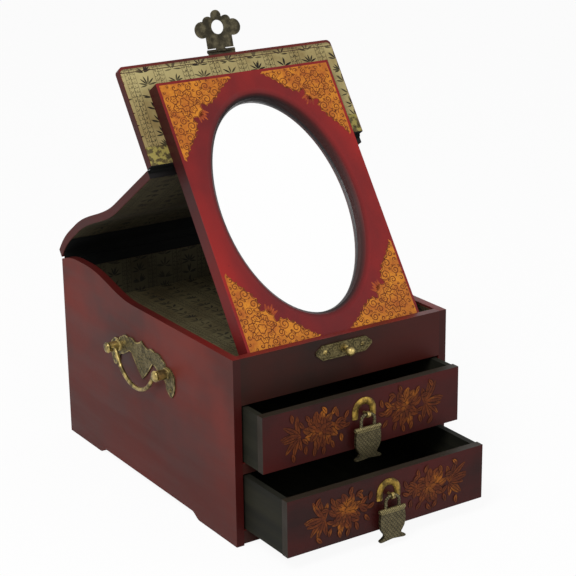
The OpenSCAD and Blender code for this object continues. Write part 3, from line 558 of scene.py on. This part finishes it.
def paper(name, u, v, painted_shade=1.0):
    """Aged paper with columns of sprigs; u runs across them and v along them; the last number darkens it as
    painted shade.
    """
    finish = Finish(name)
    zero = Vector((0, 0, 0))
    a, b = along(finish, Vector(u), zero) + 0.5, along(finish, Vector(v), zero) + 0.5
    pitch = 25.5 * MM
    large = leaves(finish, a, b, pitch, 10.6 * MM, 8.6 * MM, (-84, -58, -30, -6, 24, 52, 80), 1.0)
    from_middle = abs((a / pitch) % 1.0 - 0.5)
    in_column = from_middle < 0.31
    small = leaves(finish, a + pitch * 0.5, b, pitch / 6, 3.8 * MM, 3.6 * MM, (-60, -5, 50), 7.0)
    fine = from_middle > 0.34
    rule = abs(((a / pitch) + 0.5) % 1.0 - 0.5) < 0.011
    thin = abs(from_middle - 0.33) < 0.012
    ink = (large * in_column).most(small * fine).most(rule * 0.9).most(thin * 0.55)
    faded = finish.noise(55.0, 4.0).rise(0.25, 0.6)
    age = finish.noise(22.0, 5.0, roughness=0.65).rise(0.3, 0.75)
    light, brown = ([int(c * painted_shade) for c in t] for t in ((176, 162, 112), (128, 108, 66)))
    sheet = finish.mix(age, light, brown)
    fibre = finish.noise(700.0, 3.0)
    finish.lay(Base_Color=finish.mix(ink * (0.6 + 0.4 * faded), sheet, (22, 19, 13)),
               Roughness=0.75 + 0.15 * fibre, Specular_IOR_Level=0.25,
               Normal=finish.bump(fibre, 0.1 * MM, 0.3))
    return finish


lid_paper = paper("lid paper", (1, 0, 0), leaf_way)
rise_up = along(lid_paper, leaf_way, fold)
border = abs(rise_up - 79 * MM) < 0.35 * MM
recolour(lid_paper, border.most(rise_up.rise(79.5 * MM, 81.5 * MM) * 0.5), (64, 46, 34))
stipple = lid_paper.noise(260.0, 3.0).rise(0.45, 0.55)
recolour(lid_paper, (rise_up < 16 * MM) * 0.8, lid_paper.mix(stipple, (150, 138, 70), (60, 50, 26)))
wear(lid_paper, "lid_front_lining")
# The rear leaf's lining lies in the lid's shadow, so its paper is darkened as painted shade.
wear(paper("inner lid paper", (1, 0, 0), rear_way, 0.4), "lid_rear_lining")
print("sprigs every 25.5 mm")

# %% [markdown]
# The tray is lined on its floor and its walls in one piece of CAD. Its paper has to run along a
# different pair of directions on each face, so it is laid on as three finishes, and each polygon
# takes the one that its own direction asks for.

# %% Line the tray
tray = nodes["tray_lining"]
tray.data.materials.clear()
ACROSS, DEEP, HIGH = (1, 0, 0), (0, 1, 0), (0, 0, 1)
# The tray's papers are darkened as painted shade inside the box, the walls more than the floor.
for title, u, v, painted_shade in (("tray floor paper", ACROSS, DEEP, 0.54), ("tray side paper", DEEP, HIGH, 0.42),
                          ("tray end paper", ACROSS, HIGH, 0.38)):
    tray.data.materials.append(paper(title, u, v, painted_shade).material)
for polygon in tray.data.polygons:
    way = polygon.normal
    polygon.material_index = 0 if abs(way.z) > 0.7 else 1 if abs(way.x) > 0.7 else 2
print("tray faces", len(tray.data.polygons))

# %% [markdown]
# The gilding is thin paint with a crisp, scalloped edge and fine dark scrolls drawn on it. A shader
# could draw it, but an edge that has to stay sharp from near by is easier as a very thin mesh. So
# the ornament is drawn as flat outlines and ribbons on a plane, and laid on the wood less than
# half a millimetre proud, each layer a little above the last. The scrolls are plain spirals, in the
# common manner of such lacquer work, and come from formulas and a fixed random seed.

# %% Draw flat ornament on a plane
class Drawing:
    """Flat faces on a plane, in several finishes, which a placing function lays on the object."""

    def __init__(self, place):
        self.place, self.points, self.faces, self.looks = place, [], [], []

    def area(self, outline, lift, look=0):
        start = len(self.points)
        self.points += [self.place(a, b, lift) for a, b in outline]
        self.faces.append(tuple(range(start, start + len(outline))))
        self.looks.append(look)

    def ribbon(self, line, width, lift, look=0, thin_ends=True):
        """A stroke along a line, which can taper like a brush mark."""
        start, count = len(self.points), len(line)
        for i, (a, b) in enumerate(line):
            before, after = line[max(i - 1, 0)], line[min(i + 1, count - 1)]
            da, db = after[0] - before[0], after[1] - before[1]
            size = math.hypot(da, db) or 1.0
            share = i / (count - 1)
            half = width / 2
            if thin_ends:
                half *= math.sin(math.pi * min(max(share, 0.03), 0.97)) ** 0.6
            self.points.append(self.place(a - db / size * half, b + da / size * half, lift))
            self.points.append(self.place(a + db / size * half, b - da / size * half, lift))
        self.faces += [(start + 2 * i, start + 2 * i + 1, start + 2 * i + 3, start + 2 * i + 2)
                       for i in range(count - 1)]
        self.looks += [look] * (count - 1)

    def finish(self, name, body, slot, *looks):
        piece = new_piece(name, self.points, self.faces, *looks)
        piece.data.polygons.foreach_set("material_index", self.looks)
        piece.data.update()
        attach(piece, body)


def spiral(a, b, radius, turn, hand, turns=1.35, count=22):
    """A curl that starts at its eye and opens outwards."""
    return [(a + radius * (0.12 + 0.88 * t) * math.cos(turn + hand * t * turns * math.tau),
             b + radius * (0.12 + 0.88 * t) * math.sin(turn + hand * t * turns * math.tau))
            for t in (i / (count - 1) for i in range(count))]


def leaf_line(a, b, angle, length, bend=0.0):
    """The middle line of a leaf or a petal, which may curve."""
    return [(a + length * t * math.cos(angle + bend * t), b + length * t * math.sin(angle + bend * t))
            for t in (i / 8 for i in range(9))]


def scallops(points, swell):
    """Lobes between the points of an outline, like the edge of a cloud."""
    line = []
    for (xa, ya), (xb, yb) in zip(points, points[1:]):
        for i in range(6):
            t = i / 6
            out = swell * math.sin(math.pi * t) ** 0.7
            line.append((xa + (xb - xa) * t + (yb - ya) * out, ya + (yb - ya) * t - (xb - xa) * out))
    return line + [points[-1]]


gilt = Finish("orange gold paint")
thin_gold = gilt.noise(70.0, 5.0, roughness=0.65).rise(0.3, 0.7)
gold_specks = gilt.noise(500.0, 3.0).rise(0.5, 0.75)
gold_tone = gilt.mix(thin_gold, (204, 130, 38), (164, 88, 32))
gilt.lay(Base_Color=gilt.mix(gold_specks * 0.55, gold_tone, (112, 52, 26)),
         Metallic=0.15, Roughness=0.5, Specular_IOR_Level=0.2)
worn_gilt = Finish("worn gold paint")
rubbed_gold = worn_gilt.noise(160.0, 4.0, roughness=0.7).rise(0.35, 0.65)
worn_gilt.lay(Base_Color=worn_gilt.mix(rubbed_gold, (164, 78, 32), (124, 42, 30)),
              Roughness=0.55, Specular_IOR_Level=0.2)
ink = Finish("brown ink")
ink.lay(Base_Color=ink.mix(ink.noise(200.0, 2.0), (84, 38, 12), (120, 58, 18)),
        Roughness=0.6, Specular_IOR_Level=0.2)
print("spiral of", len(spiral(0, 0, 1, 0, 1)), "points")

# %% [markdown]
# Each corner of the mirror's frame has a gilt patch that runs out into two points along the edges,
# and between the points it is hollowed towards the oval. Both arms are the same list of points,
# once as it is and once with its two numbers swapped. A blossom sits in the corner, curls grow
# smaller towards the points, and a few worn leaves reach out of the hollow. The numbers are
# millimetres from the corner: two for a place, and a curl's third is its radius.

# %% Gild the corners of the mirror
ARM = [(66.5, 4), (62, 6.6), (57.6, 10), (53, 13.6), (48.4, 18), (42.6, 22.4), (37, 24.2), (32.6, 21.4)]
CURLS = [(60.5, 5.4, 2.2), (54.6, 7.6, 3.0), (47.6, 13.4, 4.6), (49.6, 4.8, 2.1), (41, 7.4, 3.7),
         (38.6, 18.2, 4.4), (33.6, 12.6, 3.4), (33.6, 4.8, 2.2), (26.2, 6.4, 3.0), (43.4, 3.2, 1.3),
         (54, 3.4, 1.2), (19.4, 4, 1.7), (53, 11.6, 1.5), (30, 19.4, 2.6), (13.8, 5.4, 2.2),
         (37.6, 3, 1.3), (8.4, 3.8, 1.4), (46, 18.8, 1.4), (42.6, 12.2, 1.2), (36.8, 8.6, 1.2),
         (29.6, 9.4, 1.2), (51.6, 14.2, 1.0), (57.6, 8.8, 1.0), (33.4, 16.6, 1.2), (22.6, 3.6, 1.2),
         (44.6, 9.2, 1.1), (28.6, 3.2, 1.1), (63.4, 4.2, 0.9), (41.4, 21.4, 1.1), (34.6, 21.4, 1.2)]
swapped = [(b, a) for a, b in reversed(ARM)]
hollow = scallops(ARM + [(33, 27), (27, 33)] + swapped, -0.2)
patch = [(a * MM, b * MM) for a, b in [(1.8, 1.8), (64.5, 2.0)] + hollow + [(2.0, 64.5)]]
print("patch outline of", len(patch), "points")


def blossom(drawing, a, b, radius, lift, look, turn=0.0):
    """Three rings of petals in line, the outer ones with veins."""
    def spot(angle, reach):
        return a + reach * math.cos(angle), b + reach * math.sin(angle)

    for ring, (size, count) in enumerate(((1.0, 7), (0.66, 5), (0.34, 3))):
        size *= radius
        step = math.tau / count
        for i in range(count):
            start = turn + ring * 0.5 + step * i
            arc = []
            for t in (k / 12 for k in range(13)):
                swell = 0.38 * math.sin(math.pi * t) ** 0.45 + 0.05 * math.cos(6 * math.pi * t)
                arc.append(spot(start + step * t, size * (0.62 + swell)))
            drawing.ribbon(arc, 0.75 * MM, lift, look, False)
            for vein in (0.3, 0.5, 0.7) if ring == 0 else (0.5,):
                angle = start + step * vein
                line = leaf_line(*spot(angle, size * 0.62), angle + 0.2, size * 0.26)
                drawing.ribbon(line, 0.55 * MM, lift, look)


PATCH_LIFT, LEAF_LIFT, STROKE_LIFT, BLOSSOM_LIFT = 0.05 * MM, 0.04 * MM, 0.08 * MM, 0.085 * MM
RIM_MIDDLE, RIM_SHARE, RIM_SHIFT = 33.4, 0.95, 0.6


def corner(drawing, put, seed):
    """One gilt patch with its leaves, curls and rim line; put turns it into its corner."""
    pick = random.Random(seed)
    drawing.area([put(a, b) for a, b in patch], PATCH_LIFT, 0)

    def stroke(line, width):
        drawing.ribbon([put(a, b) for a, b in line], width * MM, STROKE_LIFT, 2)

    for degrees, reach in ((14, 11), (30, 10), (45, 12), (60, 10), (76, 11), (38, 7), (52, 7)):
        line = leaf_line(26 * MM, 26 * MM, math.radians(degrees), reach * MM, 0.1)
        drawing.ribbon([put(a, b) for a, b in line], 2.4 * MM, LEAF_LIFT, 1)
    for swap in (False, True):
        for x, y, r in CURLS:
            a, b = (y, x) if swap else (x, y)
            turn, hand = pick.uniform(0, math.tau), pick.choice((-1, 1))
            stroke(spiral(a * MM, b * MM, r * MM, turn, hand, 1.7 if r > 2.5 else 1.1), 0.9)
            if r > 2.9:
                angle = turn + hand * 1.5 * math.tau + 0.9
                foot = (a + r * math.cos(angle)) * MM, (b + r * math.sin(angle)) * MM
                stroke(leaf_line(*foot, angle + 1.2 * hand, 2.6 * MM, 0.8), 0.7)
    rim = [[(RIM_MIDDLE + (v / MM - RIM_MIDDLE) * RIM_SHARE - RIM_SHIFT) * MM for v in point]
           for point in patch[2:-1]]
    stroke(rim, 0.6)


corners = Drawing(on_face)
MARGIN = 0.3 * MM
for index, (side, top) in enumerate(((-1, 1), (1, 1), (-1, 0), (1, 0))):
    def put(a, b, side=side, top=top):
        return side * (MIRROR_W / 2 - MARGIN - a), (MIRROR_H - MARGIN - b if top else MARGIN + b)

    corner(corners, put, 40 + index)
    flower = Drawing(lambda a, b, lift: on_face(*put(a, b), lift))
    blossom(flower, 18.5 * MM, 18.5 * MM, 11.5 * MM, BLOSSOM_LIFT, 0, 0.4 + index)
    flower.finish(f"corner_blossom_{index}", "mirror", "mirror_lacquer", ink)
corners.finish("corner_gilding", "mirror", "mirror_lacquer", gilt, worn_gilt, ink)
print("corner gilding", len(corners.faces), "faces")

# %% [markdown]
# The drawer fronts carry a looser ornament on each side of the pull: a full blossom, a spray of
# pointed leaves that opens outwards, and a few leaves towards the pull. Every leaf and petal is
# laid twice, first in dark ink and then a little narrower in gold, so that each gets an outline.
# The gold was rubbed nearly away, and the red shows through it.

# %% Gild the drawer fronts
thin_gilt = Finish("rubbed gold paint")
bare_spots = thin_gilt.noise(150.0, 5.0, roughness=0.7).rise(0.36, 0.6)
bright_spots = thin_gilt.noise(60.0, 3.0).rise(0.5, 0.66)
gold_tone = thin_gilt.mix(bright_spots, (104, 50, 17), (150, 86, 24))
thin_gilt.lay(Base_Color=thin_gilt.mix(bare_spots * 0.7, gold_tone, (60, 22, 14)),
              Metallic=0.1, Roughness=0.6, Specular_IOR_Level=0.15)
dark_line = Finish("dark outline")
dark_line.lay(Base_Color=(34, 15, 10), Roughness=0.7, Specular_IOR_Level=0.1)


LAYER = 0.003 * MM


def petal(drawing, a, b, degrees, length, width, bend=0.0, vein=True):
    """A gold leaf with a dark edge; each lies a little higher than those before it."""
    lift = 0.03 * MM + LAYER * (len(drawing.faces) // 8)
    line = leaf_line(a * MM, b * MM, math.radians(degrees), length * MM, bend)
    drawing.ribbon(line, (width + 1.0) * MM, lift, 1)
    drawing.ribbon(line, width * MM, lift + LAYER, 0)
    if vein:
        drawing.ribbon(line[2:], 0.45 * MM, lift + 2 * LAYER, 1)


SPRAY = ((-84, 13), (86, 13), (-60, 16), (64, 17), (-38, 17), (42, 19), (-16, 15), (20, 18), (2, 16))
RINGS = ((11, 4.5, 10.5, 6.4), (8, 2.5, 8.0, 5.4), (5, 0.4, 5.5, 4.2))
INNER_SPRAY = ((150, 10), (178, 11), (122, 9), (208, 9), (238, 8))
STRAY = ((50, 9, 70), (53, -9, -60), (30, 11, 130), (31, -10, 235), (46, -12, -100), (55, 6, 30),
         (57, -3, -150), (24, 8, 60), (22, -6, 250), (18, 5, 120), (66, 12, 100), (66, -13, 250),
         (20, -1, 180), (35, 13, 80), (37, -13, -80))


def side_ornament(drawing, pick):
    """A blossom 40 mm from the pull, sprays on both sides of it, and stray leaves."""
    for degrees, length in SPRAY:
        petal(drawing, 59 + pick.uniform(-1, 1), pick.uniform(-1, 1), degrees + pick.uniform(-4, 4),
              length, 4.4, pick.uniform(-0.3, 0.3))
    for ring, (count, start, length, width) in enumerate(RINGS):
        for i in range(count):
            degrees = 360 * (i + 0.5 * ring) / count + pick.uniform(-9, 9)
            turn = math.radians(degrees)
            petal(drawing, 40 + start * math.cos(turn) * 1.15, 0.5 + start * math.sin(turn), degrees,
                  length * pick.uniform(0.85, 1.15), width, pick.uniform(-0.4, 0.4), ring < 2)
    for degrees, length in INNER_SPRAY:
        petal(drawing, 27 + pick.uniform(-1, 1), 2 + pick.uniform(-1, 1), degrees, length, 4.0,
              pick.uniform(-0.4, 0.4))
    for a, b, degrees in STRAY:
        petal(drawing, a, b, degrees, 7, 3.4, pick.uniform(-0.5, 0.5))


for drawer in ("upper", "lower"):
    low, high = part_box(f"{drawer}_front")
    middle_z, face_y = (low.z + high.z) / 2, low.y
    for side, word in ((-1, "left"), (1, "right")):
        gold = Drawing(lambda a, b, lift: Vector((side * a, face_y - lift, middle_z + b)))
        side_ornament(gold, random.Random((3 if drawer == "upper" else 5) + side))
        gold.finish(f"{drawer}_gilding_{word}", f"{drawer}_drawer", "drawer_lacquer", thin_gilt, dark_line)
    print(drawer, "drawer gilded", len(gold.faces), "faces a side")

# %% [markdown]
# The handle plates get a bright rim, a painted highlight where their edges catch the light. Its
# line is the outline of the plate's outer face: the edges that belong to just one of the triangles
# that face outwards, chained end to end.

# %% Paint a highlight on the rims of the handle plates
def outline_of(node, side):
    """The outer face's outline as points in Y and Z."""
    mesh = node.data
    counts = {}
    for polygon in mesh.polygons:
        if polygon.normal.x * side > 0.9:
            for key in polygon.edge_keys:
                pair = tuple(sorted(tuple(round(v, 6) for v in mesh.vertices[i].co.yz) for i in key))
                counts[pair] = counts.get(pair, 0) + 1
    links = {}
    for (i, k), count in counts.items():
        if count == 1:
            links.setdefault(i, []).append(k)
            links.setdefault(k, []).append(i)
    loops = []
    while links:
        loop = [next(iter(links))]
        while True:
            ahead = [p for p in links.pop(loop[-1], []) if p in links]
            if not ahead:
                break
            loop.append(ahead[0])
        loops.append(loop)
    return max(loops, key=len)


RIM_IN, RIM_WIDTH = 0.6 * MM, 0.9 * MM
for side, word in ((-1, "left"), (1, "right")):
    low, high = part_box(f"handle_plate_{word}")
    x = low.x if side < 0 else high.x
    loop = outline_of(nodes[f"handle_plate_{word}"], side)
    area = sum(a[0] * b[1] - b[0] * a[1] for a, b in zip(loop, loop[1:] + loop[:1]))
    inward = []
    for (a, b), before, after in zip(loop, loop[-1:] + loop, loop[1:] + loop[:1]):
        da, db = after[0] - before[0], after[1] - before[1]
        size = math.hypot(da, db) * (1 if area > 0 else -1) or 1.0
        inward.append((a - db / size * RIM_IN, b + da / size * RIM_IN))
    rim = Drawing(lambda a, b, lift: Vector((x + side * lift, a, b)))
    rim.ribbon(inward + inward[:1], RIM_WIDTH, 0.05 * MM, 0, False)
    rim.finish(f"handle_rim_{word}", "case", "aged_brass", brass)
    print(word, "rim of", len(loop), "points")

# %% [markdown]
# Dark cloth strips lie over the two long hinges on the inside as painted shade, so that no light comes
# through them.
# A strip crosses a joint, so it can't ride on one body; it stays where it was built, and the size
# that it was cut to is printed.

# %% Cover the hinges with dark cloth as painted shade
shade_cloth = Finish("black cloth")
weave = (shade_cloth.x * 5000.0).sin() * ((shade_cloth.y + shade_cloth.z) * 5000.0).sin()
shade_cloth.lay(Base_Color=shade_cloth.mix(shade_cloth.noise(60.0, 3.0), (12, 13, 13), (22, 23, 22)),
          Roughness=0.9, Specular_IOR_Level=0.1, Normal=shade_cloth.bump(weave, 0.05 * MM, 0.4))
SPANS = 24


def strip(name, line, halves):
    """A strip along X whose section is a line of points in Y and Z, with half a width for each."""
    row = SPANS + 1
    points = [((2 * k / SPANS - 1) * half, p.y, p.z) for p, half in zip(line, halves) for k in range(row)]
    corners = [r * row + k for r in range(len(line) - 1) for k in range(SPANS)]
    piece = new_piece(name, points, [(c, c + 1, c + row + 1, c + row) for c in corners], shade_cloth)
    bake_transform(piece)
    length = sum((b - a).length for a, b in zip(line, line[1:]))
    print(name, "cut to", round(2 * max(halves), 3), "by", round(length, 4))


SHADE_CLOTH_UP = 21 * MM
HALF_INSIDE, HALF_LID, HALF_FOLD = 92.8 * MM, 99.9 * MM, 99.3 * MM
panel_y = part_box("back_panel")[0].y
tray_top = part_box("tray_lining")[1].z
pin_z = joints["lid_hinge"]["pos_m"][2]
lining = nodes["lid_rear_lining"]
section = [lining.matrix_world @ v.co for v in lining.data.vertices]
section = sorted({(round(p.y, 6), round(p.z, 6)) for p in section}, key=lambda p: p[1])
inner_way = Vector((0, -math.sin(lid_rise), -math.cos(lid_rise)))
under = [Vector((0, y, z)) + inner_way * 0.5 * MM for y, z in section if z < section[0][1] + SHADE_CLOTH_UP]
under = under[::2]
on_panel = [Vector((0, panel_y - 0.4 * MM, z))
            for z in (tray_top + 0.3 * MM, tray_top + 5 * MM, pin_z - 0.3 * MM, pin_z - 0.1 * MM)]
over_pin = [Vector((0, panel_y + 1.3 * MM, z)) for z in (pin_z + 0.7 * MM, under[0].z - 1.2 * MM)]
rear_line = on_panel + over_pin + under
rear_halves = [HALF_INSIDE] * 3 + [HALF_LID] * (len(rear_line) - 3)
strip("rear_hinge_cloth", rear_line, rear_halves)
DEPTHS = [6.6 * MM, 4.5 * MM, 3 * MM]
fold_line = [fold + leaf_way * 0.1 * MM + face_way * d for d in DEPTHS]
fold_line += [fold + (face_way + inner_way) * 1.9 * MM]
fold_line += [fold + rear_way * 0.1 * MM + inner_way * d for d in reversed(DEPTHS)]
strip("fold_cloth", fold_line, [HALF_FOLD] * len(fold_line))

# %% [markdown]
# Small screws hold the plates. Each is a low dome with a slot across it, turned as a hand leaves
# it. The dome is built ring by ring, and the slot is a groove pressed into all rings but the first.

# %% Screws
RINGS_UP, AROUND = 5, 20
HANDLE_SCREW_OUT, HANDLE_SCREW_Z = 46 * MM, 98.5 * MM
LATCH_SCREW_OUT, LATCH_FIELD = 17.5 * MM, 0.56 * MM


def screw(name, place, way, radius, turn):
    """A brass screw head at a place on the case, with its slot turned by an angle."""
    way = Vector(way)
    side = way.orthogonal().normalized()
    other = way.cross(side)
    points = []
    for share in (r / (RINGS_UP - 1) for r in range(RINGS_UP)):
        reach = radius * (1 - share * 0.96)
        for angle in (math.tau * k / AROUND for k in range(AROUND)):
            rise = radius * 0.42 * math.sin(share * math.pi / 2)
            if share > 0 and abs(reach * math.cos(angle - turn)) < radius * 0.16:
                rise -= radius * 0.25
            outward = side * math.cos(angle) + other * math.sin(angle)
            points.append(Vector(place) + outward * reach + way * rise)
    faces = [(r * AROUND + k, r * AROUND + (k + 1) % AROUND, (r + 1) * AROUND + (k + 1) % AROUND,
              (r + 1) * AROUND + k) for r in range(RINGS_UP - 1) for k in range(AROUND)]
    faces.append(tuple((RINGS_UP - 1) * AROUND + k for k in range(AROUND)))
    piece = new_piece(name, points, faces, brass)
    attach(piece, "case")


latch_low, latch_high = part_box("latch_plate")
latch_z = (latch_low.z + latch_high.z) / 2
for side, word in ((-1, "left"), (1, "right")):
    low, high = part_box(f"handle_plate_{word}")
    x = low.x if side < 0 else high.x
    for end, place in ((-1, "front"), (1, "back")):
        y = (low.y + high.y) / 2 + end * HANDLE_SCREW_OUT
        screw(f"handle_screw_{word}_{place}", (x, y, HANDLE_SCREW_Z), (side, 0, 0), 1.9 * MM, 0.7 * end)
    screw(f"latch_screw_{word}", (side * LATCH_SCREW_OUT, latch_low.y + LATCH_FIELD, latch_z), (0, -1, 0),
          2.0 * MM, 0.9 * side)
screws = [o.name for o in bpy.data.objects if "_screw_" in o.name]
print("screws", screws)

# %% [markdown]
# Real edges are never quite sharp, and a small bevel on the wooden pieces catches the light.

# %% Ease the edges of the wood
EDGE = 0.6 * MM
wooden = ["side_left", "side_right", "apron", "lid_front", "lid_rear", "mirror_frame", "upper_front",
          "lower_front", "upper_side_left", "upper_side_right", "lower_side_left", "lower_side_right",
          "back_panel", "bottom_rail", "middle_rail"]
for name in wooden:
    ease = nodes[name].modifiers.new("eased edges", "BEVEL")
    ease.width, ease.segments, ease.limit_method = EDGE, 2, "ANGLE"
    ease.angle_limit = math.radians(50)
print("eased", len(wooden), "pieces")

# %% [markdown]
# Last, the view is left plain, so that a colour shows as it was written, and the sizes of the CAD
# model and of the dressed one are printed.

# %% Finish
bpy.context.scene.view_settings.view_transform = "Standard"
shown_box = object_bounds()
for title, box in (("CAD", cad_box), ("dressed", shown_box)):
    print(title, "size", [round(v, 4) for v in box[1] - box[0]])
